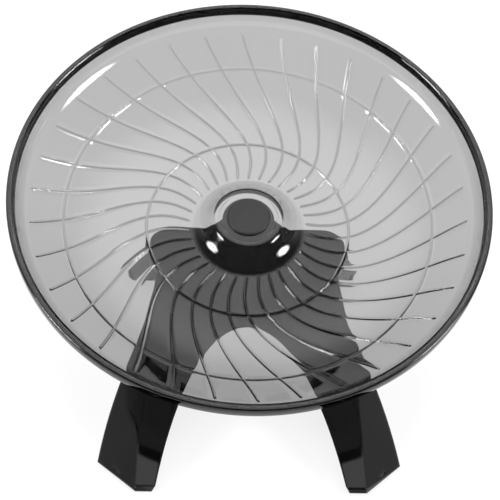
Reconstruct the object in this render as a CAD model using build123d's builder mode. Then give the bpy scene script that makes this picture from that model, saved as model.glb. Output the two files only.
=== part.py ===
from build123d import *
import os
from math import asin, cos, degrees, radians, sin, sqrt

os.makedirs("parts", exist_ok=True)

# Whole wheel, millimetres and degrees
RIM_RADIUS = 90.0
TOTAL_HEIGHT = 110.0
TILT = 27.5

# Running dish
DISH_WALL = 1.8
DISH_DEPTH = 25.1
FLOOR_RADIUS = 38.8
BOWL_ARC_RADIUS = 60.7
BOWL_ANGLE = 30.9
CONE_END_RADIUS = 82.1
WALL_ARC_RADIUS = 9.0
WALL_ANGLE = 70.0
RIM_LIP_WIDTH = 2.8
RIM_LIP_DROP = 4.5
RIM_LIP_WALL = 1.5
RIM_ROUND = 0.6

# Moulded hub bell in the middle of the dish
BELL_RADIUS = 22.4
BELL_RISE = 6.7
SHOULDER_RADIUS = 3.2
FLANK_ANGLE = 46.0
FLARE_RADIUS = 12.0
FLARE_END_ANGLE = 12.0
CUP_RADIUS = 6.2
CUP_DEPTH = 3.6
HUB_PLUG_LENGTH = 1.5
HUB_PLUG_GAP = 0.6
PILOT_HEIGHT = 0.5

# Grip ribs on the running surface
RIB_COUNT = 34
RIB_START = 4.8
RIB_WIDTH = 0.9
RIB_HEIGHT = 0.6
RIB_ROOT = 0.4
RIB_BEND_LEAD = 0.5
RIB_BEND_RADIUS = 61.0
RIB_BEND_SWING = 15.2
RIB_END_SWING = 23.3
RING_RIB_RADII = (FLOOR_RADIUS, 69.95)

# Hub cap
CAP_RADIUS = 8.6
CAP_THICKNESS = 1.0
CAP_SKIRT_WALL = 0.8
CAP_SKIRT_DEPTH = 2.0
CAP_ROUND = 0.35

# Ball bearing, 5 x 16 x 5
BEARING_BORE_RADIUS = 2.5
BEARING_RADIUS = 8.0
BEARING_WIDTH = 5.0
INNER_RACE_RADIUS = 3.75
OUTER_RACE_INNER_RADIUS = 6.75
BALL_RADIUS = 1.6
BALL_COUNT = 7
BALL_CLEARANCE = 0.05
CAGE_WALL = 1.0
CAGE_HALF_HEIGHT = 1.9
SHIELD_THICKNESS = 0.25
SHIELD_GAP = 0.25
RACE_SPACER_LENGTH = 4.0

# Axle bolt and its hardware
BOLT_CLEARANCE = 0.02
BOLT_HEAD_RADIUS = 4.6
BOLT_HEAD_HEIGHT = 2.1
BOLT_SOCKET_FLATS = 3.0
BOLT_SOCKET_DEPTH = 1.3
BOLT_HOLE_GAP = 0.1
BOLT_END_PROUD = 1.0
HEAD_WASHER_RADIUS = 5.0
WASHER_THICKNESS = 1.0
NUT_FLATS = 8.0
NUT_HEIGHT = 4.0
NUT_COLLAR_RADIUS = 3.8
NUT_COLLAR_HEIGHT = 1.2
NUT_INSERT_WALL = 0.9
NUT_INSERT_GRIP = 0.08

# Stand: one hollow moulding with a deck and four legs
STAND_WALL = 2.2
DECK_RADIUS = 39.0
DECK_GAP = 1.0
DECK_STEP = 2.0
DECK_BACK = 0.6
DECK_CORNER = 9.0
DECK_ROUND = 0.8
APRON_REACH = 40.0
HOUSING_WALL = 1.9
HOUSING_TOP_GAP = 0.6
HOUSING_FOOT = 0.9
RACE_STOP_STEP = 1.2
BOSS_BASE_RADIUS = 16.5
NUT_ACCESS_RADIUS = 7.0
BODY_DEPTH = 8.0
GUSSET = 1.8
GUSSET_COUNT = 8
GUSSET_START = 22.5
GUSSET_DEPTH = 6.0
LEG_GUSSET_PITCH = 12.5
LEG_GUSSET_COUNT = 5
LEG_GUSSET_START = 30.0

# Front legs, sizes from the middle of the dish
TOE_REACH = 91.5
TOE_LIP = 2.5
TOE_LENGTH = 17.0
TOE_CREASE = 39.4
TOE_OUTSIDE = (53.0, -76.0)
LEG_KNEE = (47.2, -47.5)
LEG_HIP = 37.6
FRONT_ARCH_TOP = 22.9
FRONT_ARCH_FOOT = 34.2

# Back legs, sizes from the middle of the dish
WAIST = (31.5, 14.0)
HEEL_REACH = 53.0
HEEL_OUTSIDE = 49.5
HEEL_LENGTH = 10.5
HEEL_WIDTH = 13.5
BACK_ARCH_TOP = 33.0
BACK_ARCH_TOP_HALF = 19.0
BACK_ARCH_CORNER = 7.0

# Rubber foot pads
PAD_RADIUS = 4.5
PAD_DEPTH = 1.5
PAD_PROUD = 1.0
FRONT_PAD = (42.5, -80.0)
BACK_PAD = (42.8, 47.5)

# Frame: floor at z = 0, front of the wheel towards -y, origin under the middle of the box
SLOPE = radians(TILT)
BACK_REACH = RIM_RADIUS * cos(SLOPE) + RIM_LIP_DROP * sin(SLOPE)
DISH_Y = (TOE_REACH - BACK_REACH) / 2
RIM_CENTRE_Z = TOTAL_HEIGHT - RIM_RADIUS * sin(SLOPE)
RIM_CENTRE = Vector(0, DISH_Y, RIM_CENTRE_Z)
SPIN = Vector(0, -sin(SLOPE), cos(SLOPE))
DISC = Plane(origin=RIM_CENTRE, x_dir=(1, 0, 0), z_dir=SPIN)
SECTION = Plane(origin=RIM_CENTRE, x_dir=(1, 0, 0), z_dir=(0, -cos(SLOPE), -sin(SLOPE)))
SPIN_AXIS = Axis(RIM_CENTRE, SPIN)
FLOOR = Plane(origin=(0, DISH_Y, 0))
SIDE = Plane(origin=(0, DISH_Y, 0), x_dir=(0, 1, 0), z_dir=(1, 0, 0))
FRONT = Plane(origin=(0, DISH_Y, 0), x_dir=(1, 0, 0), z_dir=(0, -1, 0))

# Heights along the spin axis, measured from the rim plane
BELL_TOP = -DISH_DEPTH + BELL_RISE
CUP_FLOOR = BELL_TOP - CUP_DEPTH
PLUG_END = CUP_FLOOR - HUB_PLUG_LENGTH
UPPER_BEARING_TOP = PLUG_END - PILOT_HEIGHT
UPPER_BEARING_END = UPPER_BEARING_TOP - BEARING_WIDTH
LOWER_BEARING_TOP = UPPER_BEARING_END - RACE_SPACER_LENGTH
LOWER_BEARING_END = LOWER_BEARING_TOP - BEARING_WIDTH
NUT_TOP = LOWER_BEARING_END - WASHER_THICKNESS
NUT_END = NUT_TOP - NUT_HEIGHT - NUT_COLLAR_HEIGHT
HEAD_SEAT = CUP_FLOOR + WASHER_THICKNESS
DECK_TOP = -DISH_DEPTH - DISH_WALL - DECK_GAP
BODY_TOP = DECK_TOP - DECK_STEP
HOUSING_TOP = BELL_TOP - DISH_WALL - HOUSING_TOP_GAP
HOUSING_END = LOWER_BEARING_END - HOUSING_FOOT
HOUSING_RADIUS = BEARING_RADIUS + HOUSING_WALL

# The running surface is a chain of tangent lines and arcs, so its radii and rises follow
bell_drop = SHOULDER_RADIUS * (1 - cos(radians(FLANK_ANGLE)))
flare_drop = FLARE_RADIUS * (cos(radians(FLARE_END_ANGLE)) - cos(radians(FLANK_ANGLE)))
FLANK_LENGTH = (BELL_RISE - bell_drop - flare_drop) / sin(radians(FLANK_ANGLE))
FLARE_WIDTH = FLARE_RADIUS * (sin(radians(FLANK_ANGLE)) - sin(radians(FLARE_END_ANGLE)))
SHOULDER_WIDTH = SHOULDER_RADIUS * sin(radians(FLANK_ANGLE))
BELL_TOP_RADIUS = BELL_RADIUS - FLARE_WIDTH - SHOULDER_WIDTH - FLANK_LENGTH * cos(radians(FLANK_ANGLE))
BOWL_END_RADIUS = FLOOR_RADIUS + BOWL_ARC_RADIUS * sin(radians(BOWL_ANGLE))
CONE_LENGTH = (CONE_END_RADIUS - BOWL_END_RADIUS) / cos(radians(BOWL_ANGLE))
WALL_FOOT = (
    -DISH_DEPTH
    + BOWL_ARC_RADIUS * (1 - cos(radians(BOWL_ANGLE)))
    + CONE_LENGTH * sin(radians(BOWL_ANGLE))
    + WALL_ARC_RADIUS * (cos(radians(BOWL_ANGLE)) - cos(radians(WALL_ANGLE)))
)
WALL_LENGTH = (-RIM_ROUND - WALL_FOOT) / sin(radians(WALL_ANGLE))


def bell_chain(depth):
    """Draw the bell's surface from the hub's flat top to the floor, depth under the outside."""
    top = Line((CUP_RADIUS, BELL_TOP - depth), (BELL_TOP_RADIUS, BELL_TOP - depth))
    shoulder = JernArc(top @ 1, (1, 0), SHOULDER_RADIUS - depth, -FLANK_ANGLE)
    flank = PolarLine(shoulder @ 1, FLANK_LENGTH, direction=shoulder % 1)
    flare = JernArc(flank @ 1, flank % 1, FLARE_RADIUS + depth, FLANK_ANGLE - FLARE_END_ANGLE)
    Line(flare @ 1, (BELL_RADIUS, -DISH_DEPTH - depth))


def dish_chain(depth):
    """Draw the dish's surface from the bell to the rim, depth under the running side."""
    floor_line = Line((BELL_RADIUS, -DISH_DEPTH - depth), (FLOOR_RADIUS, -DISH_DEPTH - depth))
    bowl = JernArc(floor_line @ 1, (1, 0), BOWL_ARC_RADIUS + depth, BOWL_ANGLE)
    cone = PolarLine(bowl @ 1, CONE_LENGTH, direction=bowl % 1)
    wall_arc = JernArc(cone @ 1, cone % 1, WALL_ARC_RADIUS + depth, WALL_ANGLE - BOWL_ANGLE)
    wall = PolarLine(wall_arc @ 1, WALL_LENGTH, direction=wall_arc % 1)
    return wall @ 1


def polar(radius, angle):
    """Give the point at a radius and an angle in degrees."""
    return (radius * cos(radians(angle)), radius * sin(radians(angle)))


# One grip rib: an arc from the bell past the inner ring, then a straight run to the wall
with BuildPart() as rib_layer:
    with BuildSketch(SECTION):
        with BuildLine():
            upper_end = dish_chain(-RIB_HEIGHT)
            lower_end = dish_chain(RIB_ROOT)
            Line(upper_end, lower_end)
            Line((BELL_RADIUS, -DISH_DEPTH + RIB_HEIGHT), (BELL_RADIUS, -DISH_DEPTH - RIB_ROOT))
        make_face()
    revolve(axis=SPIN_AXIS)

with BuildPart() as grip_rib:
    with BuildSketch(DISC.offset(-DISH_DEPTH - DISH_WALL)):
        with BuildLine() as rib_path:
            rib_bend = ThreePointArc(
                polar(BELL_RADIUS, 0),
                polar(FLOOR_RADIUS, RIB_BEND_LEAD),
                polar(RIB_BEND_RADIUS, RIB_BEND_SWING),
            )
            Line(rib_bend @ 1, polar(CONE_END_RADIUS, RIB_END_SWING))
        trace(rib_path.line, line_width=RIB_WIDTH)
        with Locations(rib_path.line @ 0, rib_path.line @ 1):
            Circle(RIB_WIDTH / 2)
    extrude(amount=DISH_DEPTH + DISH_WALL)
    add(rib_layer.part, mode=Mode.INTERSECT)

# Running dish with its hub bell, its rolled rim and its ribs, one clear moulding
with BuildPart() as dish:
    with BuildSketch(SECTION):
        with BuildLine():
            bell_chain(0)
            bell_chain(DISH_WALL)
            rim_inside = dish_chain(0)
            rim_outside = dish_chain(DISH_WALL)
            Line(rim_inside, rim_outside)
            Line((CUP_RADIUS, BELL_TOP), (CUP_RADIUS, BELL_TOP - DISH_WALL))
        make_face()
        with BuildLine():
            Polyline(
                rim_inside,
                (RIM_RADIUS - RIM_LIP_WIDTH, 0),
                (RIM_RADIUS, 0),
                (RIM_RADIUS, -RIM_LIP_DROP),
                (RIM_RADIUS - RIM_LIP_WALL, -RIM_LIP_DROP),
                rim_outside,
                close=True,
            )
        make_face()
        with BuildLine():
            Polyline(
                (BEARING_BORE_RADIUS + BOLT_HOLE_GAP, CUP_FLOOR),
                (CUP_RADIUS, CUP_FLOOR),
                (CUP_RADIUS, BELL_TOP),
                (BEARING_RADIUS - HUB_PLUG_GAP, BELL_TOP),
                (BEARING_RADIUS - HUB_PLUG_GAP, PLUG_END),
                (INNER_RACE_RADIUS, PLUG_END),
                (INNER_RACE_RADIUS, UPPER_BEARING_TOP),
                (BEARING_BORE_RADIUS + BOLT_HOLE_GAP, UPPER_BEARING_TOP),
                close=True,
            )
        make_face()
        for ring_radius in RING_RIB_RADII:
            bowl_run = ring_radius - FLOOR_RADIUS
            ring_height = -DISH_DEPTH + BOWL_ARC_RADIUS - sqrt(BOWL_ARC_RADIUS**2 - bowl_run**2)
            ring_slope = degrees(asin(bowl_run / BOWL_ARC_RADIUS))
            with Locations(Pos(ring_radius, ring_height) * Rot(0, 0, ring_slope)):
                Rectangle(RIB_WIDTH, 2 * RIB_HEIGHT)
    revolve(axis=SPIN_AXIS)
    rim_edges = dish.edges().filter_by(GeomType.CIRCLE)
    rim_edges = rim_edges.filter_by(lambda edge: abs(edge.radius - RIM_RADIUS) < RIM_ROUND / 2)
    fillet(rim_edges, radius=RIM_ROUND)
    with Locations(DISC):
        with PolarLocations(0, RIB_COUNT, start_angle=RIB_START):
            add(DISC.to_local_coords(grip_rib.part))
dish.part.label = "dish"
export_step(dish.part, "parts/dish.step")

# Hub cap: a flat disc with a ring that presses into the hub's cup
with BuildPart() as hub_cap:
    with BuildSketch(DISC.offset(BELL_TOP)):
        Circle(CAP_RADIUS)
    extrude(amount=CAP_THICKNESS)
    fillet(hub_cap.edges().sort_by(SPIN_AXIS)[-1], radius=CAP_ROUND)
    with BuildSketch(DISC.offset(BELL_TOP)):
        Circle(CUP_RADIUS)
        Circle(CUP_RADIUS - CAP_SKIRT_WALL, mode=Mode.SUBTRACT)
    extrude(amount=-CAP_SKIRT_DEPTH)
hub_cap.part.label = "hub_cap"
export_step(hub_cap.part, "parts/hub_cap.step")

# Axle bolt: its head clamps the dish to the inner races
with BuildPart() as axle_bolt:
    with BuildSketch(DISC.offset(HEAD_SEAT)):
        Circle(BOLT_HEAD_RADIUS)
    extrude(amount=BOLT_HEAD_HEIGHT)
    fillet(axle_bolt.edges().sort_by(SPIN_AXIS)[-1], radius=BOLT_HEAD_HEIGHT / 2)
    with BuildSketch(DISC.offset(HEAD_SEAT + BOLT_HEAD_HEIGHT)):
        RegularPolygon(BOLT_SOCKET_FLATS / 2, 6, major_radius=False)
    extrude(amount=-BOLT_SOCKET_DEPTH, mode=Mode.SUBTRACT)
    with BuildSketch(DISC.offset(HEAD_SEAT)):
        Circle(BEARING_BORE_RADIUS - BOLT_CLEARANCE)
    extrude(amount=NUT_END - BOLT_END_PROUD - HEAD_SEAT)
    chamfer(axle_bolt.edges().sort_by(SPIN_AXIS)[0], length=BOLT_END_PROUD / 2)
axle_bolt.part.label = "axle_bolt"
export_step(axle_bolt.part, "parts/axle_bolt.step")


def ring(name, outer, inner, top, height):
    """Make a plain ring about the spin axis, from its top downwards, and write it."""
    with BuildPart() as piece:
        with BuildSketch(DISC.offset(top)):
            Circle(outer)
            Circle(inner, mode=Mode.SUBTRACT)
        extrude(amount=-height)
    piece.part.label = name
    export_step(piece.part, f"parts/{name}.step")


ring("head_washer", HEAD_WASHER_RADIUS, BEARING_BORE_RADIUS, HEAD_SEAT, WASHER_THICKNESS)
ring("race_spacer", INNER_RACE_RADIUS, BEARING_BORE_RADIUS, UPPER_BEARING_END, RACE_SPACER_LENGTH)
ring("end_washer", INNER_RACE_RADIUS, BEARING_BORE_RADIUS, LOWER_BEARING_END, WASHER_THICKNESS)

# Lock nut: a hexagon with a round collar that holds a nylon ring
with BuildPart() as lock_nut:
    with BuildSketch(DISC.offset(NUT_TOP)):
        RegularPolygon(NUT_FLATS / 2, 6, major_radius=False)
    extrude(amount=-NUT_HEIGHT)
    with BuildSketch(DISC.offset(NUT_TOP - NUT_HEIGHT)):
        Circle(NUT_COLLAR_RADIUS)
    extrude(amount=-NUT_COLLAR_HEIGHT)
    with BuildSketch(DISC.offset(NUT_TOP - NUT_HEIGHT)):
        Circle(BEARING_BORE_RADIUS + NUT_INSERT_WALL)
    extrude(amount=-NUT_COLLAR_HEIGHT, mode=Mode.SUBTRACT)
    with BuildSketch(DISC.offset(NUT_TOP)):
        Circle(BEARING_BORE_RADIUS)
    extrude(amount=-NUT_HEIGHT, mode=Mode.SUBTRACT)
lock_nut.part.label = "lock_nut"
export_step(lock_nut.part, "parts/lock_nut.step")

ring(
    "lock_nut_insert",
    BEARING_BORE_RADIUS + NUT_INSERT_WALL,
    BEARING_BORE_RADIUS - NUT_INSERT_GRIP,
    NUT_TOP - NUT_HEIGHT,
    NUT_COLLAR_HEIGHT,
)

# Ball bearings: two of a kind, each with races, balls, a cage and two shields
BALL_ORBIT = (INNER_RACE_RADIUS + OUTER_RACE_INNER_RADIUS) / 2
GROOVE_RADIUS = BALL_RADIUS + BALL_CLEARANCE


def bearing_race(name, outer, inner, top):
    """Make a race with its ball groove."""
    middle = top - BEARING_WIDTH / 2
    with BuildPart() as race:
        with BuildSketch(DISC.offset(top)):
            Circle(outer)
            Circle(inner, mode=Mode.SUBTRACT)
        extrude(amount=-BEARING_WIDTH)
        with BuildSketch(SECTION):
            with Locations((BALL_ORBIT, middle)):
                Circle(GROOVE_RADIUS)
        revolve(axis=SPIN_AXIS, mode=Mode.SUBTRACT)
    race.part.label = name
    export_step(race.part, f"parts/{name}.step")


def bearing(name, top):
    """Make one bearing's pieces, with its top face at a height along the spin axis."""
    middle = DISC.offset(top - BEARING_WIDTH / 2)
    bearing_race(f"{name}_outer_race", BEARING_RADIUS, OUTER_RACE_INNER_RADIUS, top)
    bearing_race(f"{name}_inner_race", INNER_RACE_RADIUS, BEARING_BORE_RADIUS, top)
    with BuildPart() as balls:
        with Locations(middle):
            with PolarLocations(BALL_ORBIT, BALL_COUNT):
                Sphere(BALL_RADIUS)
    balls.part.label = f"{name}_balls"
    export_step(balls.part, f"parts/{name}_balls.step")
    with BuildPart() as cage:
        with BuildSketch(middle):
            Circle(BALL_ORBIT + CAGE_WALL / 2)
            Circle(BALL_ORBIT - CAGE_WALL / 2, mode=Mode.SUBTRACT)
        extrude(amount=CAGE_HALF_HEIGHT, both=True)
        with Locations(middle):
            with PolarLocations(BALL_ORBIT, BALL_COUNT):
                Cylinder(GROOVE_RADIUS, 2 * CAGE_WALL, rotation=(0, 90, 0), mode=Mode.SUBTRACT)
    cage.part.label = f"{name}_cage"
    export_step(cage.part, f"parts/{name}_cage.step")
    shield_inner = INNER_RACE_RADIUS + SHIELD_GAP
    lower_shield_top = top - BEARING_WIDTH + SHIELD_THICKNESS
    ring(f"{name}_top_shield", OUTER_RACE_INNER_RADIUS, shield_inner, top, SHIELD_THICKNESS)
    ring(f"{name}_end_shield", OUTER_RACE_INNER_RADIUS, shield_inner, lower_shield_top, SHIELD_THICKNESS)


bearing("upper_bearing", UPPER_BEARING_TOP)
bearing("lower_bearing", LOWER_BEARING_TOP)


# Stand: points of its side view, from the middle of the dish
def side_point(along, height):
    """Turn a place along the dish and along the spin axis into the side view's y and z."""
    return (
        along * cos(SLOPE) - height * sin(SLOPE),
        RIM_CENTRE_Z + along * sin(SLOPE) + height * cos(SLOPE),
    )


APRON_TOP = side_point(-APRON_REACH, BODY_TOP)
DECK_END = side_point(DECK_BACK, BODY_TOP)
BODY_BACK = side_point(DECK_BACK - BODY_DEPTH / 2, BODY_TOP - BODY_DEPTH)
BODY_FRONT = side_point(-DECK_RADIUS, BODY_TOP - BODY_DEPTH)
TOE_TOP = (-TOE_REACH, PAD_PROUD + TOE_LIP)
TOE_BACK = (-TOE_REACH + TOE_LENGTH, PAD_PROUD)
HEEL_FRONT = (HEEL_REACH - HEEL_LENGTH, PAD_PROUD)
HEEL_BACK = (HEEL_REACH, PAD_PROUD)
PAD_PLACES = {
    "foot_pad_front_left": (-FRONT_PAD[0], FRONT_PAD[1]),
    "foot_pad_front_right": FRONT_PAD,
    "foot_pad_back_left": (-BACK_PAD[0], BACK_PAD[1]),
    "foot_pad_back_right": BACK_PAD,
}


def outer_side():
    """Draw the stand's legs and body from the side."""
    with BuildSketch(SIDE) as outline:
        with BuildLine():
            Polyline(
                (-TOE_REACH, PAD_PROUD), TOE_TOP, APRON_TOP, DECK_END, HEEL_BACK,
                HEEL_FRONT, BODY_BACK, BODY_FRONT, TOE_BACK, close=True,
            )
        make_face()
    return outline.sketch


def hollow_side():
    """Draw the hollow under the body from the side, a wall below the top faces."""
    with BuildSketch(SIDE) as outline:
        with BuildLine():
            Polyline(
                (-TOE_REACH, -TOTAL_HEIGHT), TOE_TOP, APRON_TOP, DECK_END, HEEL_BACK,
                (HEEL_REACH, -TOTAL_HEIGHT), close=True,
            )
        make_face()
        offset(amount=-STAND_WALL, kind=Kind.INTERSECTION)
        with BuildLine():
            Polyline(
                TOE_BACK, (TOE_BACK[0], TOTAL_HEIGHT), (HEEL_FRONT[0], TOTAL_HEIGHT), HEEL_FRONT,
                close=True,
            )
        make_face(mode=Mode.INTERSECT)
    return outline.sketch


def outline_in_plan(inset):
    """Draw the legs' outline seen from above, inset by a wall."""
    with BuildSketch(FLOOR) as plan:
        with BuildLine():
            ThreePointArc(TOE_OUTSIDE, LEG_KNEE, (LEG_HIP, APRON_TOP[0]))
            Polyline((LEG_HIP, APRON_TOP[0]), WAIST, (HEEL_OUTSIDE, HEEL_REACH), (0, HEEL_REACH))
            Polyline(TOE_OUTSIDE, (TOE_CREASE, -TOE_REACH), (0, -TOE_REACH))
            mirror(about=Plane.YZ)
        make_face()
        if inset > 0:
            offset(amount=-inset, kind=Kind.INTERSECTION)
    return plan.sketch


def arches(inset):
    """Make the tunnels between the two front legs and between the two back legs."""
    with BuildPart() as tunnels:
        with BuildSketch(FRONT):
            with BuildLine():
                ThreePointArc((-FRONT_ARCH_FOOT, 0), (0, FRONT_ARCH_TOP), (FRONT_ARCH_FOOT, 0))
                Line((-FRONT_ARCH_FOOT, 0), (FRONT_ARCH_FOOT, 0))
            make_face()
            if inset > 0:
                offset(amount=inset, kind=Kind.INTERSECTION)
        extrude(amount=TOE_REACH)
        with BuildSketch(FRONT.offset(-DECK_END[0])):
            with BuildLine():
                Polyline(
                    (-HEEL_OUTSIDE + HEEL_WIDTH, 0),
                    (-BACK_ARCH_TOP_HALF, BACK_ARCH_TOP),
                    (BACK_ARCH_TOP_HALF, BACK_ARCH_TOP),
                    (HEEL_OUTSIDE - HEEL_WIDTH, 0),
                    close=True,
                )
            back_face = make_face()
            fillet(back_face.vertices().group_by(Axis.Y)[-1], radius=BACK_ARCH_CORNER)
            if inset > 0:
                offset(amount=inset, kind=Kind.INTERSECTION)
        extrude(amount=-HEEL_REACH)
    return tunnels.part


def broad_face(inset):
    """Make the block that slopes a front leg's outer side, moved in by a wall."""
    toe_crease = Vector(TOE_CREASE, *TOE_TOP)
    hip_crease = Vector(LEG_HIP, *APRON_TOP)
    toe_outside = Vector(*TOE_OUTSIDE, PAD_PROUD)
    outward = (toe_outside - toe_crease).cross(hip_crease - toe_crease).normalized()
    start = toe_crease + Vector(0, DISH_Y, 0) - outward * inset
    with BuildPart() as block:
        with BuildSketch(Plane(origin=start, z_dir=outward)):
            Rectangle(4 * TOE_REACH, 4 * TOE_REACH)
        extrude(amount=TOTAL_HEIGHT)
        with BuildSketch(FRONT.offset(-APRON_TOP[0])):
            Rectangle(4 * TOE_REACH, 4 * TOE_REACH)
        extrude(amount=2 * TOE_REACH, mode=Mode.INTERSECT)
    return block.part


def shell_form(side, inset):
    """Make the legs and body as one solid form, in from the outside by a wall."""
    with BuildPart() as form:
        extrude(side, amount=TOE_OUTSIDE[0], both=True)
        extrude(outline_in_plan(inset), amount=TOTAL_HEIGHT, mode=Mode.INTERSECT)
        add(arches(inset), mode=Mode.SUBTRACT)
        add(broad_face(inset), mode=Mode.SUBTRACT)
        mirror(broad_face(inset), about=Plane.YZ, mode=Mode.SUBTRACT)
    return form.part


stand_form = shell_form(outer_side(), 0)
stand_hollow = shell_form(hollow_side(), STAND_WALL)

# Gussets inside the hollow: radial under the deck and across each front leg
with BuildPart() as gussets:
    with Locations(DISC.offset(BODY_TOP)):
        with PolarLocations(0, GUSSET_COUNT // 2, start_angle=GUSSET_START, angular_range=180):
            Box(2 * APRON_REACH, GUSSET, 2 * GUSSET_DEPTH)
    with Locations(FLOOR):
        with GridLocations(0, LEG_GUSSET_PITCH, 1, 2 * LEG_GUSSET_COUNT + 1):
            Box(2 * TOE_REACH, GUSSET, 2 * TOTAL_HEIGHT)
        Box(2 * APRON_REACH, 2 * LEG_GUSSET_START, 2 * TOTAL_HEIGHT, mode=Mode.SUBTRACT)
    add(stand_hollow, mode=Mode.INTERSECT)
    add(stand_form, mode=Mode.INTERSECT)

# Stand: legs, deck and bearing housing, hollow underneath, with its gussets
with BuildPart() as stand:
    add(stand_form)
    with BuildSketch(DISC.offset(DECK_TOP)):
        Circle(DECK_RADIUS)
        with Locations((0, DECK_BACK)):
            Rectangle(
                2 * DECK_RADIUS, DECK_RADIUS, align=(Align.CENTER, Align.MIN), mode=Mode.SUBTRACT
            )
        fillet(vertices(), radius=DECK_CORNER)
    extrude(amount=-DECK_STEP - STAND_WALL)
    fillet(stand.faces().sort_by(SPIN_AXIS)[-1].edges(), radius=DECK_ROUND)
    add(stand_hollow, mode=Mode.SUBTRACT)
    add(gussets.part)
    with BuildSketch(SECTION):
        Polygon(
            (0, HOUSING_TOP), (-HOUSING_RADIUS, HOUSING_TOP),
            (-BOSS_BASE_RADIUS, DECK_TOP), (0, DECK_TOP), align=None,
        )
    revolve(axis=SPIN_AXIS, revolution_arc=180)
    with BuildSketch(DISC.offset(HOUSING_TOP)):
        Circle(HOUSING_RADIUS)
    extrude(amount=HOUSING_END - HOUSING_TOP)
    for bore_radius, bore_top, bore_end in (
        (BEARING_RADIUS, HOUSING_TOP, UPPER_BEARING_END),
        (BEARING_RADIUS - RACE_STOP_STEP, UPPER_BEARING_END, LOWER_BEARING_TOP),
        (BEARING_RADIUS, LOWER_BEARING_TOP, HOUSING_END),
        (NUT_ACCESS_RADIUS, HOUSING_END, HOUSING_END - DECK_RADIUS),
    ):
        with BuildSketch(DISC.offset(bore_top)):
            Circle(bore_radius)
        extrude(amount=bore_end - bore_top, mode=Mode.SUBTRACT)
    with BuildSketch(FLOOR.offset(PAD_PROUD)):
        with Locations(*PAD_PLACES.values()):
            Circle(PAD_RADIUS)
    extrude(amount=PAD_DEPTH, mode=Mode.SUBTRACT)
stand.part.label = "stand"
export_step(stand.part, "parts/stand.step")

# Rubber foot pads, pressed into round pockets in the feet
for pad_name, pad_place in PAD_PLACES.items():
    with BuildPart() as foot_pad:
        with BuildSketch(FLOOR):
            with Locations(pad_place):
                Circle(PAD_RADIUS)
        extrude(amount=PAD_PROUD + PAD_DEPTH)
        chamfer(foot_pad.edges().sort_by(Axis.Z)[0], length=PAD_PROUD / 3)
    foot_pad.part.label = pad_name
    export_step(foot_pad.part, f"parts/{pad_name}.step")
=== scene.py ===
"""Looks of a tilted saucer exercise wheel: a clear ribbed dish on a glossy black stand."""

import logging
from dataclasses import dataclass
from enum import Enum
from math import cos, radians, sin, tan

import bmesh
import bpy
import numpy as np
from mathutils import Matrix, Vector

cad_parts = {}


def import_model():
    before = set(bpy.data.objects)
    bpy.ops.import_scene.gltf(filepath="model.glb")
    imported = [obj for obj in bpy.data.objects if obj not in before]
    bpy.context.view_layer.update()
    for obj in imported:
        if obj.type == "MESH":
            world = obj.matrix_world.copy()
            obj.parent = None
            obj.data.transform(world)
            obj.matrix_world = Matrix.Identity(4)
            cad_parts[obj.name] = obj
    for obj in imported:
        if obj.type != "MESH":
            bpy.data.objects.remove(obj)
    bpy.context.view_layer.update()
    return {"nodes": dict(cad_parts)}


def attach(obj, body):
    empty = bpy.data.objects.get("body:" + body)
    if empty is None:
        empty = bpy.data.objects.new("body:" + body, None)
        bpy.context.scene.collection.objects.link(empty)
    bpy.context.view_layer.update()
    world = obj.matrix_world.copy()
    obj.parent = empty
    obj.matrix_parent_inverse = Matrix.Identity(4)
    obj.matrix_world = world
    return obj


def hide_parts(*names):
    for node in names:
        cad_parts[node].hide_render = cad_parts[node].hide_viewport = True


LOG = logging.getLogger("exercise_wheel")
MM = 0.001
LATHE_SEGMENTS = 128
CORNER_STEPS = 4
SMOOTH_TURN = 22.0
POLE_RADIUS = 1.0
SHADOW_TINT = (0.95, 0.95, 0.95, 1.0)
WHITE = (1.0, 1.0, 1.0, 1.0)
BLACK = (0.0, 0.0, 0.0, 1.0)


def calculate(
    tree: bpy.types.NodeTree,
    operation: str,
    first: bpy.types.NodeSocket,
    second: bpy.types.NodeSocket | float,
) -> bpy.types.NodeSocket:
    """Join two values in a math node.

    Args:
        tree: the node tree to work in.
        operation: the math node's operation.
        first: the first value.
        second: the second value, a socket or a plain number.

    Returns:
        The socket that holds the result.
    """
    node = tree.nodes.new("ShaderNodeMath")
    node.operation = operation
    tree.links.new(first, node.inputs[0])
    if isinstance(second, (int, float)):
        node.inputs[1].default_value = second
    else:
        tree.links.new(second, node.inputs[1])
    return node.outputs[0]


def map_range(
    tree: bpy.types.NodeTree,
    value: bpy.types.NodeSocket,
    limits: tuple[float, float],
    levels: tuple[float, float],
    smooth: bool = True,
) -> bpy.types.NodeSocket:
    """Carry a value from one range over to another.

    Args:
        tree: the node tree to work in.
        value: the value to carry over.
        limits: the range it comes from.
        levels: the range it goes to.
        smooth: whether both ends ease in and out.

    Returns:
        The socket that holds the result.
    """
    node = tree.nodes.new("ShaderNodeMapRange")
    if smooth:
        node.interpolation_type = "SMOOTHSTEP"
    node.inputs["From Min"].default_value, node.inputs["From Max"].default_value = limits
    node.inputs["To Min"].default_value, node.inputs["To Max"].default_value = levels
    tree.links.new(value, node.inputs["Value"])
    return node.outputs["Result"]


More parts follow.
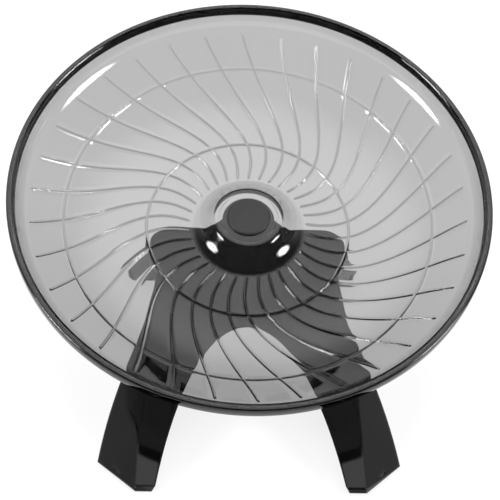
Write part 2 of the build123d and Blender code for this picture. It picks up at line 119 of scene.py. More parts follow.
@dataclass(frozen=True)
class SpinFrame:
    """The tilted frame that the dish turns in, in millimetres."""

    rim_radius: float = 90.0
    total_height: float = 110.0
    tilt: float = 27.5
    toe_reach: float = 91.5
    lip_drop: float = 4.5

    @property
    def middle_y(self) -> float:
        """Give the y of the dish's middle."""
        slope = radians(self.tilt)
        back = self.rim_radius * cos(slope) + self.lip_drop * sin(slope)
        return (self.toe_reach - back) / 2

    @property
    def rim_height(self) -> float:
        """Give the height of the rim's middle over the floor."""
        return self.total_height - self.rim_radius * sin(radians(self.tilt))

    def place(self, points: np.ndarray) -> np.ndarray:
        """Turn points of the dish's own frame into the row frame.

        Args:
            points: one row per point, in millimetres: across, up the slope, along the spin axis.

        Returns:
            The same points in metres.
        """
        slope = radians(self.tilt)
        across, along, height = points[:, 0], points[:, 1], points[:, 2]
        placed = np.empty_like(points)
        placed[:, 0] = across
        placed[:, 1] = self.middle_y + along * cos(slope) - height * sin(slope)
        placed[:, 2] = self.rim_height + along * sin(slope) + height * cos(slope)
        return placed * MM


class Grain(Enum):
    """How a surface's fine relief is laid."""

    MOULDED = "moulded"
    SPARK = "spark"
    TURNED = "turned"


@dataclass(frozen=True)
class Finish:
    """One surface finish, built as a procedural node material.

    Attributes:
        name: the material's name.
        colour: the plain colour, linear.
        wear_colour: the colour that the finish drifts to in patches.
        roughness: lowest and highest roughness.
        patch_scale: size of the patches, in turns per metre.
        relief_scale: size of the fine relief, in turns per metre.
        relief: height of the fine relief, in metres.
        metallic: 1 for bare metal.
        clear: share of light that passes through.
        index: refractive index.
        edge_round: radius of the softened edges, in metres.
        absorption: share of light lost per metre of thickness, for clear stuff.
        mirror: how strongly a plain surface mirrors; 0.5 is common plastic.
        grain: how the fine relief is laid.
    """

    name: str
    colour: tuple[float, float, float]
    wear_colour: tuple[float, float, float]
    roughness: tuple[float, float]
    patch_scale: float = 60.0
    relief_scale: float = 900.0
    relief: float = 0.00001
    metallic: float = 0.0
    clear: float = 0.0
    index: float = 1.5
    edge_round: float = 0.0
    absorption: float = 0.0
    mirror: float = 0.5
    grain: Grain = Grain.MOULDED

    def material(self) -> bpy.types.Material:
        """Build the node material.

        Returns:
            The material, made once and then shared.
        """
        found = bpy.data.materials.get(self.name)
        if found is not None:
            return found
        made = bpy.data.materials.new(self.name)
        made.use_nodes = True
        tree = made.node_tree
        shader = tree.nodes["Principled BSDF"]
        shader.inputs["Metallic"].default_value = self.metallic
        shader.inputs["IOR"].default_value = self.index
        shader.inputs["Specular IOR Level"].default_value = self.mirror
        shader.inputs["Transmission Weight"].default_value = self.clear
        coordinates = tree.nodes.new("ShaderNodeTexCoord")
        patches = tree.nodes.new("ShaderNodeTexNoise")
        patches.inputs["Scale"].default_value = self.patch_scale
        patches.inputs["Detail"].default_value = 4.0
        tree.links.new(coordinates.outputs["Object"], patches.inputs["Vector"])
        self._drift(tree, patches, shader)
        self._relief(tree, coordinates, shader)
        if self.clear > 0:
            self._pass_light(tree, shader)
        return made

    def _pass_light(self, tree: bpy.types.NodeTree, shader: bpy.types.Node) -> None:
        """Darken light by the thickness it crosses and let soft light through to the floor."""
        path = tree.nodes.new("ShaderNodeLightPath")
        shadow, diffuse = path.outputs["Is Shadow Ray"], path.outputs["Is Diffuse Ray"]
        soft = calculate(tree, "MAXIMUM", shadow, diffuse)
        through = tree.nodes.new("ShaderNodeBsdfTransparent")
        through.inputs["Color"].default_value = SHADOW_TINT
        mix = tree.nodes.new("ShaderNodeMixShader")
        tree.links.new(soft, mix.inputs[0])
        tree.links.new(shader.outputs[0], mix.inputs[1])
        tree.links.new(through.outputs[0], mix.inputs[2])
        smoke = tree.nodes.new("ShaderNodeVolumeAbsorption")
        smoke.inputs["Color"].default_value = BLACK
        smoke.inputs["Density"].default_value = self.absorption
        out = tree.nodes["Material Output"]
        tree.links.new(mix.outputs[0], out.inputs["Surface"])
        tree.links.new(smoke.outputs[0], out.inputs["Volume"])

    def _drift(
        self, tree: bpy.types.NodeTree, patches: bpy.types.Node, shader: bpy.types.Node
    ) -> None:
        """Let colour and roughness drift with the patches."""
        ramp = tree.nodes.new("ShaderNodeValToRGB")
        stops = ((0.35, self.colour), (0.75, self.wear_colour))
        for element, (position, colour) in zip(ramp.color_ramp.elements, stops):
            element.position, element.color = position, (*colour, 1.0)
        tree.links.new(patches.outputs["Fac"], ramp.inputs["Fac"])
        tree.links.new(ramp.outputs["Color"], shader.inputs["Base Color"])
        rough = map_range(tree, patches.outputs["Fac"], (0.3, 0.7), self.roughness, smooth=False)
        tree.links.new(rough, shader.inputs["Roughness"])

    def _relief(
        self, tree: bpy.types.NodeTree, coordinates: bpy.types.Node, shader: bpy.types.Node
    ) -> None:
        """Add the fine relief and, where asked, softened edges."""
        if self.grain is Grain.TURNED:
            fine = tree.nodes.new("ShaderNodeTexWave")
            fine.wave_type = "RINGS"
            fine.inputs["Scale"].default_value = self.relief_scale
            fine.inputs["Distortion"].default_value = 1.5
        elif self.grain is Grain.SPARK:
            fine = tree.nodes.new("ShaderNodeTexVoronoi")
            fine.inputs["Scale"].default_value = self.relief_scale
        else:
            fine = tree.nodes.new("ShaderNodeTexNoise")
            fine.inputs["Scale"].default_value = self.relief_scale
            fine.inputs["Detail"].default_value = 3.0
        tree.links.new(coordinates.outputs["Object"], fine.inputs["Vector"])
        bump = tree.nodes.new("ShaderNodeBump")
        bump.inputs["Strength"].default_value = 1.0
        bump.inputs["Distance"].default_value = self.relief
        height = "Distance" if self.grain is Grain.SPARK else "Fac"
        tree.links.new(fine.outputs[height], bump.inputs["Height"])
        if self.edge_round > 0:
            soft = tree.nodes.new("ShaderNodeBevel")
            soft.samples = 6
            soft.inputs["Radius"].default_value = self.edge_round
            tree.links.new(soft.outputs["Normal"], bump.inputs["Normal"])
        tree.links.new(bump.outputs["Normal"], shader.inputs["Normal"])


CLEAR_SMOKE = Finish(
    name="clear_smoke",
    colour=(0.97, 0.97, 0.97),
    wear_colour=(0.94, 0.94, 0.94),
    roughness=(0.01, 0.035),
    patch_scale=18.0,
    relief_scale=70.0,
    relief=0.00003,
    clear=1.0,
    index=1.49,
    absorption=400.0,
)
# Painted shade: the rim's outer edge is the same clear plastic, coloured nearly black to stand in
# for the darkness light gathers in the rolled lip.
PAINTED_SHADE_RIM = Finish(
    name="rim_painted_dark",
    colour=(0.012, 0.012, 0.012),
    wear_colour=(0.03, 0.03, 0.03),
    roughness=(0.02, 0.06),
    mirror=0.12,
    patch_scale=30.0,
    relief_scale=90.0,
    relief=0.00003,
    clear=1.0,
    index=1.49,
    absorption=400.0,
)
GLOSS_BLACK = Finish(
    name="stand_black_gloss",
    colour=(0.0014, 0.0014, 0.0015),
    wear_colour=(0.003, 0.003, 0.0032),
    roughness=(0.06, 0.15),
    patch_scale=45.0,
    relief_scale=420.0,
    relief=0.000012,
    edge_round=0.0012,
    mirror=0.2,
)
MATTE_CAP = Finish(
    name="matte_cap",
    colour=(0.017, 0.017, 0.0175),
    wear_colour=(0.024, 0.024, 0.0245),
    roughness=(0.46, 0.58),
    mirror=0.28,
    patch_scale=180.0,
    relief_scale=3200.0,
    relief=0.00002,
    grain=Grain.SPARK,
)
ZINC_STEEL = Finish(
    name="zinc_plated",
    colour=(0.60, 0.60, 0.61),
    wear_colour=(0.50, 0.51, 0.53),
    roughness=(0.24, 0.40),
    patch_scale=260.0,
    relief_scale=2400.0,
    relief=0.000006,
    metallic=1.0,
)
GROUND_STEEL = Finish(
    name="ground_steel",
    colour=(0.72, 0.72, 0.73),
    wear_colour=(0.64, 0.64, 0.66),
    roughness=(0.12, 0.24),
    patch_scale=300.0,
    relief_scale=1500.0,
    relief=0.000004,
    metallic=1.0,
    grain=Grain.TURNED,
)
BALL_CHROME = Finish(
    name="polished_ball",
    colour=(0.80, 0.80, 0.81),
    wear_colour=(0.76, 0.76, 0.78),
    roughness=(0.03, 0.08),
    patch_scale=500.0,
    relief_scale=3000.0,
    relief=0.000001,
    metallic=1.0,
)
PRESSED_STEEL = Finish(
    name="pressed_steel",
    colour=(0.62, 0.61, 0.60),
    wear_colour=(0.54, 0.53, 0.52),
    roughness=(0.22, 0.36),
    patch_scale=320.0,
    relief_scale=2000.0,
    relief=0.000005,
    metallic=1.0,
)
NYLON = Finish(
    name="nylon_ring",
    colour=(0.16, 0.30, 0.55),
    wear_colour=(0.13, 0.25, 0.48),
    roughness=(0.42, 0.55),
    patch_scale=400.0,
    relief_scale=2500.0,
    relief=0.00001,
)
PAD_RUBBER = Finish(
    name="grip_rubber",
    colour=(0.030, 0.030, 0.031),
    wear_colour=(0.050, 0.049, 0.048),
    roughness=(0.72, 0.88),
    patch_scale=220.0,
    relief_scale=2600.0,
    relief=0.00004,
    grain=Grain.SPARK,
)


def smooth_object(
    name: str, vertices: np.ndarray, faces: list[tuple[int, ...]], finish: Finish
) -> bpy.types.Object:
    """Make a smooth-shaded mesh object.

    Args:
        name: the piece's name.
        vertices: one row per vertex, in metres.
        faces: vertex numbers of each face.
        finish: the surface finish.

    Returns:
        The linked object.
    """
    mesh = bpy.data.meshes.new(name)
    mesh.from_pydata(vertices.tolist(), [], faces)
    form = bmesh.new()
    form.from_mesh(mesh)
    bmesh.ops.recalc_face_normals(form, faces=form.faces)
    form.to_mesh(mesh)
    form.free()
    mesh.shade_smooth()
    mesh.materials.append(finish.material())
    made = bpy.data.objects.new(name, mesh)
    bpy.context.scene.collection.objects.link(made)
    return made


def soften(outline: list[tuple[float, float]], radius: float) -> list[tuple[float, float]]:
    """Round the sharp corners of a closed outline.

    Args:
        outline: corner points, in millimetres.
        radius: the corners' radius, cut down where an edge is short.

    Returns:
        The outline with each sharp corner as a few short edges.
    """
    points = [Vector(p) for p in outline]
    rounded: list[tuple[float, float]] = []
    for number, here in enumerate(points):
        before = points[number - 1] - here
        after = points[(number + 1) % len(points)] - here
        if here.x < POLE_RADIUS or before.angle(-after) < radians(SMOOTH_TURN):
            rounded.append((here.x, here.y))
            continue
        reach = min(radius, before.length * 0.4, after.length * 0.4)
        start, end = here + before.normalized() * reach, here + after.normalized() * reach
        for step in range(CORNER_STEPS + 1):
            t = step / CORNER_STEPS
            bend = start * (1 - t) ** 2 + here * 2 * t * (1 - t) + end * t**2
            rounded.append((bend.x, bend.y))
    return rounded


def lathe(
    name: str,
    frame: SpinFrame,
    outline: list[tuple[float, float]],
    finish: Finish,
) -> bpy.types.Object:
    """Turn a closed outline about the spin axis.

    Args:
        name: the piece's name.
        frame: the dish's frame.
        outline: radius and height of each point, in millimetres.
        finish: the surface finish.

    Returns:
        The linked object.
    """
    profile = np.array(outline)
    angles = np.linspace(0, 2 * np.pi, LATHE_SEGMENTS, endpoint=False)
    across = profile[:, 0, None] * np.cos(angles)
    along = profile[:, 0, None] * np.sin(angles)
    height = np.repeat(profile[:, 1, None], LATHE_SEGMENTS, axis=1)
    points = frame.place(np.stack([across, along, height], 2).reshape(-1, 3))
    return smooth_object(name, points, ring_faces(len(profile), LATHE_SEGMENTS), finish)


def ring_faces(rows: int, columns: int) -> list[tuple[int, ...]]:
    """Join a grid of points into a closed ring of four-sided faces.

    Args:
        rows: points along the outline.
        columns: points round the axis.

    Returns:
        The point numbers of each face.
    """
    faces = []
    for row in range(rows):
        below = (row + 1) % rows
        for column in range(columns):
            beside = (column + 1) % columns
            faces.append(
                (
                    row * columns + column,
                    row * columns + beside,
                    below * columns + beside,
                    below * columns + column,
                )
            )
    return faces


@dataclass
class RunningDish:
    """The clear dish with its bell, its rim, its ring ribs and its curved grip ribs."""

    frame: SpinFrame
    wall: float = 1.8
    depth: float = 25.1
    bell_radius: float = 22.4
    bell_rise: float = 6.7
    shoulder_radius: float = 3.2
    flank_angle: float = 46.0
    flare_radius: float = 12.0
    flare_end_angle: float = 12.0
    floor_radius: float = 38.8
    bowl_arc_radius: float = 60.7
    bowl_angle: float = 30.9
    cone_end_radius: float = 82.1
    wall_arc_radius: float = 9.0
    wall_angle: float = 70.0
    lip_width: float = 2.8
    lip_wall: float = 1.5
    cup_radius: float = 6.2
    cup_depth: float = 3.6
    bolt_hole_radius: float = 2.6
    plug_radius: float = 7.4
    plug_length: float = 1.5
    pilot_radius: float = 3.75
    pilot_height: float = 0.5
    rib_count: int = 34
    rib_start: float = 4.8
    rib_height: float = 0.55
    rib_half_width: float = 0.56
    rib_crown: float = 0.8
    rib_end_margin: float = 0.5
    rib_end_row: float = 0.4
    rib_columns: tuple[float, ...] = (
        -0.7, -0.52, -0.4, -0.28, -0.14, 0.0, 0.14, 0.28, 0.4, 0.52, 0.7,
    )
    gap_columns: int = 5
    far_from_rib: float = 9.0
    row_pitch: float = 1.6
    fine_rows: tuple[float, ...] = (-0.7, -0.5, -0.35, -0.2, 0.0, 0.2, 0.35, 0.5, 0.7)
    fine_reach: float = 0.85
    arc_steps: int = 10
    wall_steps: int = 12
    top_flat: float = 0.8
    wall_end: float = 0.6
    lip_edge: tuple[tuple[float, float], ...] = ((0.65, 0.0), (0.34, 0.1), (0.1, 0.34), (0.0, 0.65))
    # Width of the rim band that takes painted shade, in millimetres.
    painted_shade_band: float = 1.7
    ring_radii: tuple[float, float] = (38.8, 69.95)
    rib_swing: tuple[tuple[float, float], ...] = (
        (22.4, 0.0),
        (25.0, -1.4),
        (28.0, -1.95),
        (32.5, -2.0),
        (38.8, 0.6),
        (47.5, 6.2),
        (56.5, 12.6),
        (65.5, 17.7),
        (74.5, 21.4),
        (82.1, 23.4),
    )

    def bell(self) -> list[tuple[float, float, float]]:
        """Trace the bell from its flat top to the floor, as radius, height and slope."""
        flank, end = radians(self.flank_angle), radians(self.flare_end_angle)
        top = self.bell_rise - self.depth
        shoulder_drop = self.shoulder_radius * (1 - cos(flank))
        flare_drop = self.flare_radius * (cos(end) - cos(flank))
        run = (self.bell_rise - shoulder_drop - flare_drop) / tan(flank)
        flare_width = self.flare_radius * (sin(flank) - sin(end))
        top_radius = self.bell_radius - flare_width - run - self.shoulder_radius * sin(flank)
        trace = [(top_radius - self.top_flat, top, 0.0)]
        for step in range(self.arc_steps + 1):
            a = flank * step / self.arc_steps
            radius = top_radius + self.shoulder_radius * sin(a)
            trace.append((radius, top - self.shoulder_radius * (1 - cos(a)), -a))
        radius, height, _ = trace[-1]
        fall = self.bell_rise - shoulder_drop - flare_drop
        trace.append((radius + run / 2, height - fall / 2, -flank))
        radius, height = radius + run, height - fall
        for step in range(self.arc_steps + 1):
            a = flank + (end - flank) * step / self.arc_steps
            trace.append(
                (
                    radius + self.flare_radius * (sin(flank) - sin(a)),
                    height - self.flare_radius * (cos(a) - cos(flank)),
                    -a,
                )
            )
        return trace[:-1]

    def bowl(self) -> list[tuple[float, float, float]]:
        """Trace the running surface from the bell to the rim, as radius, height and slope."""
        trace = []
        for radius in self._rows(self.bell_radius, self.floor_radius):
            trace.append((radius, -self.depth, 0.0))
        tilt = radians(self.bowl_angle)
        bowl_end = self.floor_radius + self.bowl_arc_radius * sin(tilt)
        for radius in self._rows(self.floor_radius, bowl_end)[1:]:
            a = np.arcsin((radius - self.floor_radius) / self.bowl_arc_radius)
            trace.append((radius, -self.depth + self.bowl_arc_radius * (1 - cos(a)), a))
        radius, height, _ = trace[-1]
        for further in self._rows(radius, self.cone_end_radius)[1:]:
            trace.append((further, height + (further - radius) * tan(tilt), tilt))
        radius, height, _ = trace[-1]
        steep = radians(self.wall_angle)
        for step in range(1, self.wall_steps + 1):
            a = tilt + (steep - tilt) * step / self.wall_steps
            trace.append(
                (
                    radius + self.wall_arc_radius * (sin(a) - sin(tilt)),
                    height + self.wall_arc_radius * (cos(tilt) - cos(a)),
                    a,
                )
            )
        radius, height, _ = trace[-1]
        rise = -self.wall_end - height
        for step in (0.35, 0.7, 1.0):
            trace.append((radius + rise * step / tan(steep), height + rise * step, steep))
        return trace

    def _rows(self, start: float, end: float) -> list[float]:
        """List radii from start to end, close together at ring ribs and rib ends."""
        count = int((end - start) / self.row_pitch) + 2
        radii = set(np.round(np.linspace(start, end, count), 3))
        rib_ends = (self.bell_radius + self.rib_end_row, self.cone_end_radius - self.rib_end_row)
        for middle in (*self.ring_radii, *rib_ends):
            near = [r for r in radii if abs(r - middle) < self.fine_reach]
            radii.difference_update(r for r in near if r not in (start, end))
            radii.update(middle + s for s in self.fine_rows if start < middle + s < end)
        return sorted(r for r in radii if start <= r <= end)

    def swing(self, radii: np.ndarray) -> np.ndarray:
        """Give how far a rib has swung round at each radius, in radians."""
        table = np.array(self.rib_swing)
        fit = np.polynomial.Polynomial.fit(table[:, 0], table[:, 1], 6)
        return np.radians(fit(np.clip(radii, self.bell_radius, self.cone_end_radius)))

    def columns(self) -> tuple[np.ndarray, np.ndarray]:
        """List the columns round one rib.

        Returns:
            Each column's share of the gap between two ribs, and its offset in millimetres.
        """
        offsets = np.array(self.rib_columns)
        gap = np.linspace(0, 1, self.gap_columns + 2)[1:-1]
        edge = offsets[-1]
        shares = np.concatenate([np.zeros_like(offsets), gap])
        side = np.concatenate([offsets, edge - 2 * edge * gap])
        return shares, side

    def relief(self, radii: np.ndarray, side: np.ndarray) -> np.ndarray:
        """Give the ribs' height over the running surface.

        Args:
            radii: radius of each row.
            side: distance of each column from its rib's middle line.

        Returns:
            One height per row and column.
        """
        low = self.bell_radius + self.rib_end_margin
        high = self.cone_end_radius - self.rib_end_margin
        beyond = np.maximum(np.maximum(low - radii, radii - high), 0)[:, None]
        away = np.hypot(side, beyond)
        rib = self._crown(away)
        ring = np.zeros(len(radii))
        for middle in self.ring_radii:
            off = np.abs(radii - middle)
            ring = np.maximum(ring, self._crown(off))
        return self.rib_height * np.maximum(rib, ring[:, None])

    def _crown(self, away: np.ndarray) -> np.ndarray:
        """Give a rib's rounded cross-section, from 1 at its middle line to 0 at its foot."""
        share = np.clip(away / self.rib_half_width, 0, 1)
        return np.clip(np.cos(share * np.pi / 2), 0, 1) ** self.rib_crown

    def _lip(self) -> list[tuple[float, float]]:
        """Trace the rolled lip from its inner edge to its foot."""
        rim, foot = self.frame.rim_radius, self.frame.lip_drop
        lip = [(rim - self.lip_width, -0.05), (rim - self.lip_width / 2, 0.0)]
        lip += [(rim - inwards, -down) for inwards, down in self.lip_edge]
        lip += [(rim, -foot / 2)]
        lip += [(rim - inwards, up - foot) for inwards, up in reversed(self.lip_edge)]
        return lip + [(rim - self.lip_wall, -foot)]

    def outline(self) -> tuple[np.ndarray, slice, np.ndarray]:
        """Trace the closed cross-section.

        Returns:
            Radius and height of each row, the rows of the running side, and each row's slope.
        """
        top = self.bell_rise - self.depth
        cup_floor = top - self.cup_depth
        plug_end = cup_floor - self.plug_length
        pilot_end = plug_end - self.pilot_height
        run = np.array(self.bell() + self.bowl())
        under = run[::-2]
        normal = np.stack([-np.sin(under[:, 2]), np.cos(under[:, 2])], 1)
        under = under[:, :2] - normal * self.wall
        under = under[under[:, 0] > self.plug_radius + 1.2]
        cup = [
            (self.bolt_hole_radius, pilot_end),
            (self.bolt_hole_radius, cup_floor),
            (self.cup_radius, cup_floor),
            (self.cup_radius, top),
        ]
        plug = [
            (self.plug_radius, top - self.wall),
            (self.plug_radius, plug_end),
            (self.pilot_radius, plug_end),
            (self.pilot_radius, pilot_end),
        ]
        cup = soften(cup + [(run[0, 0], top)], 0.3)[:-1]
        plug = soften([tuple(under[-1])] + plug, 0.25)[1:]
        profile = np.concatenate([cup, run[:, :2], self._lip(), under, plug])
        running = slice(len(cup), len(cup) + len(run))
        slope = np.zeros(len(profile))
        slope[running] = run[:, 2]
        return profile, running, slope

    def build(self) -> bpy.types.Object:
        """Make the dish as one closed mesh whose columns follow the ribs."""
        profile, running, slope = self.outline()
        shares, side = self.columns()
        step = 2 * np.pi / self.rib_count
        radii = profile[:, 0]
        pull = np.minimum(1.0, radii / self.bell_radius)[:, None]
        turn = self.swing(radii)[:, None] + shares * step + pull * side / radii[:, None]
        turn[running.stop :] = turn[running.stop - 1]
        turns = np.concatenate([turn + step * n for n in range(self.rib_count)], axis=1)
        turns += radians(self.rib_start)
        lift = np.zeros_like(turn)
        reach = np.where(shares > 0, self.far_from_rib, side)[None, :]
        lift[running] = self.relief(radii[running], reach)
        lift = np.tile(lift, (1, self.rib_count))
        radius = radii[:, None] - lift * np.sin(slope)[:, None]
        height = profile[:, 1, None] + lift * np.cos(slope)[:, None]
        points = np.stack([radius * np.cos(turns), radius * np.sin(turns), height], 2)
        made = smooth_object(
            "dish_shell",
            self.frame.place(points.reshape(-1, 3)),
            ring_faces(*turns.shape),
            CLEAR_SMOKE,
        )
        # Painted shade: the rim's outer edge rows take the nearly black clear finish.
        made.data.materials.append(PAINTED_SHADE_RIM.material())
        edge = self._painted_shade_rows(profile)
        for face in made.data.polygons:
            face.material_index = int(face.index // turns.shape[1] in edge)
        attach(made, "dish")
        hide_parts("dish")
        return made

    def _painted_shade_rows(self, profile: np.ndarray) -> set[int]:
        """List the rows of the rim's outer edge, which take painted shade: a nearly black colour
        standing in for the darkness light gathers in the rolled clear lip.
        """
        outside = profile[:, 0] > self.frame.rim_radius - self.painted_shade_band
        above = profile[:, 1] > -self.frame.lip_drop - 0.3
        return set(np.nonzero(outside & above)[0].tolist())


@dataclass
class HubCap:
    """The flat matte cap pressed into the bell's cup."""

    frame: SpinFrame
    radius: float = 8.2
    seat: float = -18.4
    thickness: float = 1.0
    skirt_radius: float = 6.2
    skirt_wall: float = 0.8
    skirt_depth: float = 2.0
    skirt_gap: float = 0.05
    seat_gap: float = 0.03
    pole: tuple[float, float] = (0.4, 0.16)
    face_dips: tuple[tuple[float, float], ...] = ((0.5, 0.12), (0.80, 0.03))
    face_edge: tuple[tuple[float, float], ...] = ((0.55, 0.0), (0.1, 0.40), (0.0, 0.62))
    corner_radius: float = 0.32

    def build(self) -> bpy.types.Object:
        """Make the cap with a softened edge and a shallow dished face."""
        top = self.seat + self.thickness
        skirt = self.skirt_radius - self.skirt_gap
        inside = self.skirt_radius - self.skirt_wall
        outline = [(self.pole[0], top - self.pole[1])]
        outline += [(self.radius * share, top - dip) for share, dip in self.face_dips]
        outline += [(self.radius - inwards, top - down) for inwards, down in self.face_edge]
        outline += [
            (self.radius, self.seat + self.seat_gap),
            (skirt, self.seat + self.seat_gap),
            (skirt, self.seat - self.skirt_depth),
            (inside, self.seat - self.skirt_depth),
            (inside, self.seat + 0.1),
            (self.pole[0], self.seat + 0.1),
        ]
        rounded = soften(outline, self.corner_radius)
        made = lathe("hub_cap_disc", self.frame, rounded, MATTE_CAP)
        close_middle(made)
        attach(made, "dish")
        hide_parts("hub_cap")
        return made


def close_middle(piece: bpy.types.Object) -> None:
    """Close the small hole that a lathe leaves about the spin axis."""
    form = bmesh.new()
    form.from_mesh(piece.data)
    form.verts.ensure_lookup_table()
    ends = {0, len(form.verts) // LATHE_SEGMENTS - 1}
    inner = [f for f in form.faces if {v.index // LATHE_SEGMENTS for v in f.verts} == ends]
    bmesh.ops.delete(form, geom=inner, context="FACES_ONLY")
    edges = [e for e in form.edges if e.is_boundary]
    bmesh.ops.holes_fill(form, edges=edges, sides=0)
    bmesh.ops.recalc_face_normals(form, faces=form.faces)
    form.to_mesh(piece.data)
    form.free()


@dataclass
class StandShell:
    """The glossy stand: the solid stand's form with its outer edges rounded."""

    node: bpy.types.Object
    frame: SpinFrame
    edge_radius: float = 1.5
    crisp_angle: float = 26.0
    hub_clearance: float = 19.0
    floor_clearance: float = 1.6
    merge_distance: float = 0.000002
    flat_angle: float = 1.0
    sharp_angle: float = 32.0
    bevel_steps: int = 5
    wall_rise: float = 0.35
    upright_rise: float = 0.5
    top_rise: float = 0.3

    def build(self) -> bpy.types.Object:
        """Copy the solid stand, merge its flat faces and round its outer edges."""
        form = bmesh.new()
        form.from_mesh(self.node.data)
        bmesh.ops.remove_doubles(form, verts=form.verts, dist=self.merge_distance)
        flat = radians(self.flat_angle)
        bmesh.ops.dissolve_limit(form, angle_limit=flat, verts=form.verts, edges=form.edges)
        bmesh.ops.bevel(
            form,
            geom=[e for e in form.edges if self._rounded(e)],
            offset=self.edge_radius * MM,
            offset_type="OFFSET",
            segments=self.bevel_steps,
            profile=0.5,
            affect="EDGES",
            clamp_overlap=True,
        )
        mesh = bpy.data.meshes.new("stand_shell")
        form.to_mesh(mesh)
        form.free()
        mesh.shade_smooth()
        mesh.set_sharp_from_angle(angle=radians(self.sharp_angle))
        mesh.materials.append(GLOSS_BLACK.material())
        made = bpy.data.objects.new("stand_shell", mesh)
        bpy.context.scene.collection.objects.link(made)
        weighted = made.modifiers.new("even", "WEIGHTED_NORMAL")
        weighted.keep_sharp = True
        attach(made, "stand")
        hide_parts("stand")
        return made

    def _rounded(self, edge: bmesh.types.BMEdge) -> bool:
        """Tell whether an edge is an outer edge that gets rounded."""
        if len(edge.link_faces) != 2 or not edge.is_convex:
            return False
        if edge.calc_face_angle() < radians(self.crisp_angle):
            return False
        slope = radians(self.frame.tilt)
        axis = Vector((0.0, -sin(slope), cos(slope)))
        middle = Vector((0.0, self.frame.middle_y, self.frame.rim_height)) * MM
        for corner in edge.verts:
            away = corner.co - middle
            if (away - axis * away.dot(axis)).length < self.hub_clearance * MM:
                return False
            if corner.co.z < self.floor_clearance * MM:
                return False
        rises = [face.normal.z for face in edge.link_faces]
        along = (edge.verts[0].co - edge.verts[1].co).normalized()
        between_walls = max(abs(rise) for rise in rises) < self.wall_rise
        upright = between_walls and abs(along.z) > self.upright_rise
        return max(rises) > self.top_rise or upright


@dataclass
class CarriedNodes:
    """The CAD nodes that keep their own shape and only take a finish."""

    nodes: dict[str, bpy.types.Object]

    def finish_of(self, node: str) -> Finish:
        """Choose the finish of one node by its name."""
        for ending, finish in (
            ("_race", GROUND_STEEL),
            ("_balls", BALL_CHROME),
            ("_cage", PRESSED_STEEL),
            ("_shield", PRESSED_STEEL),
            ("_insert", NYLON),
        ):
            if node.endswith(ending):
                return finish
        return PAD_RUBBER if node.startswith("foot_pad") else ZINC_STEEL

    def dress(self) -> int:
        """Give every carried node its finish.

        Returns:
            How many nodes were dressed.
        """
        for name, node in self.nodes.items():
            node.data.materials.clear()
            node.data.materials.append(self.finish_of(name).material())
        return len(self.nodes)


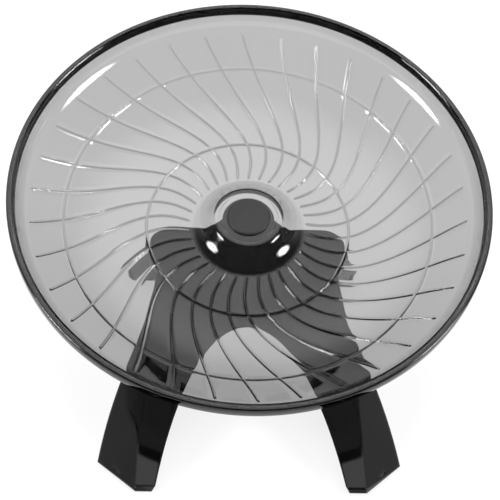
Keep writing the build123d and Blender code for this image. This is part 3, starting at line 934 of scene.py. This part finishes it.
@dataclass
class Studio:
    """Floor, surroundings, lamps and camera."""

    lens: float = 109.94
    sensor: float = 36.0
    camera_place: tuple[float, float, float] = (-0.02666, -0.49084, 0.33882)
    camera_right: tuple[float, float, float] = (0.99866, -0.02975, 0.04238)
    camera_back: tuple[float, float, float] = (-0.04729, -0.85758, 0.51213)
    floor_reach: float = 6.0
    floor_grey: float = 0.22
    floor_glow: float = 0.78
    backdrop: float = 1.0
    overhead: float = 2.1
    overhead_place: tuple[float, float, float] = (0.0, 0.16, 1.0)
    overhead_spread: tuple[float, float] = (44.0, 12.0)
    softbox: float = 34.0
    softbox_spread: tuple[float, float] = (14.0, 1.0)
    softbox_places: tuple[tuple[float, float, float], ...] = (
        (-0.84, -0.38, 0.40),
        (0.84, -0.38, 0.40),
    )
    back: float = 1.1
    back_limits: tuple[float, float] = (-0.25, 0.35)
    back_heights: tuple[float, float] = (0.45, 0.95)
    back_top: float = 0.55
    fill: float = 0.024

    def build(self) -> None:
        """Make the whole studio."""
        self.floor()
        self.surroundings()
        self.camera()

    def _seen_directly(self, tree: bpy.types.NodeTree, mirrored: bool) -> bpy.types.NodeSocket:
        """Give 1 where the eye looks straight or through clear stuff.

        Args:
            tree: the node tree to work in.
            mirrored: whether mirrored looks count too.

        Returns:
            The socket that holds the value.
        """
        path = tree.nodes.new("ShaderNodeLightPath")
        seen = path.outputs["Is Camera Ray"]
        seen = calculate(tree, "MAXIMUM", seen, path.outputs["Is Transmission Ray"])
        if mirrored:
            seen = calculate(tree, "MAXIMUM", seen, path.outputs["Is Glossy Ray"])
        return seen

    def _glow(
        self,
        tree: bpy.types.NodeTree,
        place: bpy.types.NodeSocket,
        towards: tuple[float, float, float],
        spread: tuple[float, float],
        level: float,
    ) -> bpy.types.NodeSocket:
        """Lay a round soft light in the surroundings.

        Args:
            tree: the world's node tree.
            place: the direction that is looked in.
            towards: the middle of the light.
            spread: angles in degrees where the light ends and where it is full.
            level: its strength.

        Returns:
            The socket that holds the strength.
        """
        facing = tree.nodes.new("ShaderNodeVectorMath")
        facing.operation = "DOT_PRODUCT"
        facing.inputs[1].default_value = Vector(towards).normalized()
        tree.links.new(place, facing.inputs[0])
        limits = (cos(radians(spread[0])), cos(radians(spread[1])))
        return map_range(tree, facing.outputs["Value"], limits, (0.0, level))

    def floor(self) -> bpy.types.Object:
        """Make a plain pale floor that keeps the wheel's shadow."""
        mesh = bpy.data.meshes.new("floor")
        reach = self.floor_reach
        corners = [(-reach, -reach, 0), (reach, -reach, 0), (reach, reach, 0), (-reach, reach, 0)]
        mesh.from_pydata(corners, [], [(0, 1, 2, 3)])
        made = bpy.data.materials.new("pale_floor")
        made.use_nodes = True
        tree = made.node_tree
        shader = tree.nodes["Principled BSDF"]
        shader.inputs["Base Color"].default_value = (*[self.floor_grey] * 3, 1.0)
        shader.inputs["Roughness"].default_value = 0.9
        shader.inputs["Specular IOR Level"].default_value = 0.0
        shader.inputs["Emission Color"].default_value = WHITE
        level = calculate(tree, "MULTIPLY", self._seen_directly(tree, True), self.floor_glow)
        tree.links.new(level, shader.inputs["Emission Strength"])
        mesh.materials.append(made)
        floor = bpy.data.objects.new("floor", mesh)
        bpy.context.scene.collection.objects.link(floor)
        return floor

    def surroundings(self) -> None:
        """Make the world white to the eye, bright overhead and dark in front for mirrored light."""
        world = bpy.data.worlds.new("studio")
        bpy.context.scene.world = world
        world.use_nodes = True
        tree = world.node_tree
        tree.nodes.clear()
        place = tree.nodes.new("ShaderNodeTexCoord").outputs["Generated"]
        total = self._glow(
            tree, place, self.overhead_place, self.overhead_spread, self.overhead
        )
        total = calculate(tree, "ADD", total, self._backdrop(tree, place))
        for towards in self.softbox_places:
            light = self._glow(tree, place, towards, self.softbox_spread, self.softbox)
            total = calculate(tree, "ADD", total, light)
        around = tree.nodes.new("ShaderNodeBackground")
        around.inputs["Color"].default_value = WHITE
        tree.links.new(total, around.inputs["Strength"])
        plain = tree.nodes.new("ShaderNodeBackground")
        plain.inputs["Color"].default_value = WHITE
        plain.inputs["Strength"].default_value = self.backdrop
        mix = tree.nodes.new("ShaderNodeMixShader")
        tree.links.new(self._seen_directly(tree, False), mix.inputs[0])
        tree.links.new(around.outputs[0], mix.inputs[1])
        tree.links.new(plain.outputs[0], mix.inputs[2])
        out = tree.nodes.new("ShaderNodeOutputWorld")
        tree.links.new(mix.outputs[0], out.inputs["Surface"])

    def _backdrop(
        self, tree: bpy.types.NodeTree, place: bpy.types.NodeSocket
    ) -> bpy.types.NodeSocket:
        """Lay the white backdrop behind the wheel, where mirrored looks find it too."""
        parts = tree.nodes.new("ShaderNodeSeparateXYZ")
        tree.links.new(place, parts.inputs[0])
        behind = map_range(
            tree, parts.outputs["Y"], self.back_limits, (self.fill, self.back)
        )
        low = map_range(tree, parts.outputs["Z"], self.back_heights, (1.0, self.back_top))
        return calculate(tree, "MULTIPLY", behind, low)

    def camera(self) -> bpy.types.Object:
        """Stand the camera where the photograph was taken from."""
        lens = bpy.data.cameras.new("camera")
        lens.lens, lens.sensor_width = self.lens, self.sensor
        lens.clip_start, lens.clip_end = 0.01, 50.0
        made = bpy.data.objects.new("camera", lens)
        bpy.context.scene.collection.objects.link(made)
        right = Vector(self.camera_right).normalized()
        back = Vector(self.camera_back).normalized()
        up = back.cross(right).normalized()
        turn = Matrix((right, up, back)).transposed().to_4x4()
        made.matrix_world = Matrix.Translation(self.camera_place) @ turn
        bpy.context.scene.camera = made
        return made


def main() -> None:
    """Build the wheel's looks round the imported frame."""
    logging.basicConfig(level=logging.INFO)
    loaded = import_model()
    bpy.context.scene.view_settings.view_transform = "Standard"
    frame = SpinFrame()
    dish = RunningDish(frame).build()
    LOG.info("dish: %d faces", len(dish.data.polygons))
    cap = HubCap(frame).build()
    LOG.info("hub cap: %d faces", len(cap.data.polygons))
    stand = StandShell(loaded["nodes"]["stand"], frame).build()
    LOG.info("stand: %d faces", len(stand.data.polygons))
    dressed = ("dish", "hub_cap", "stand")
    carried = {n: o for n, o in loaded["nodes"].items() if n not in dressed}
    LOG.info("carried nodes dressed: %d", CarriedNodes(carried).dress())
    Studio().build()


if __name__ == "__main__":
    main()
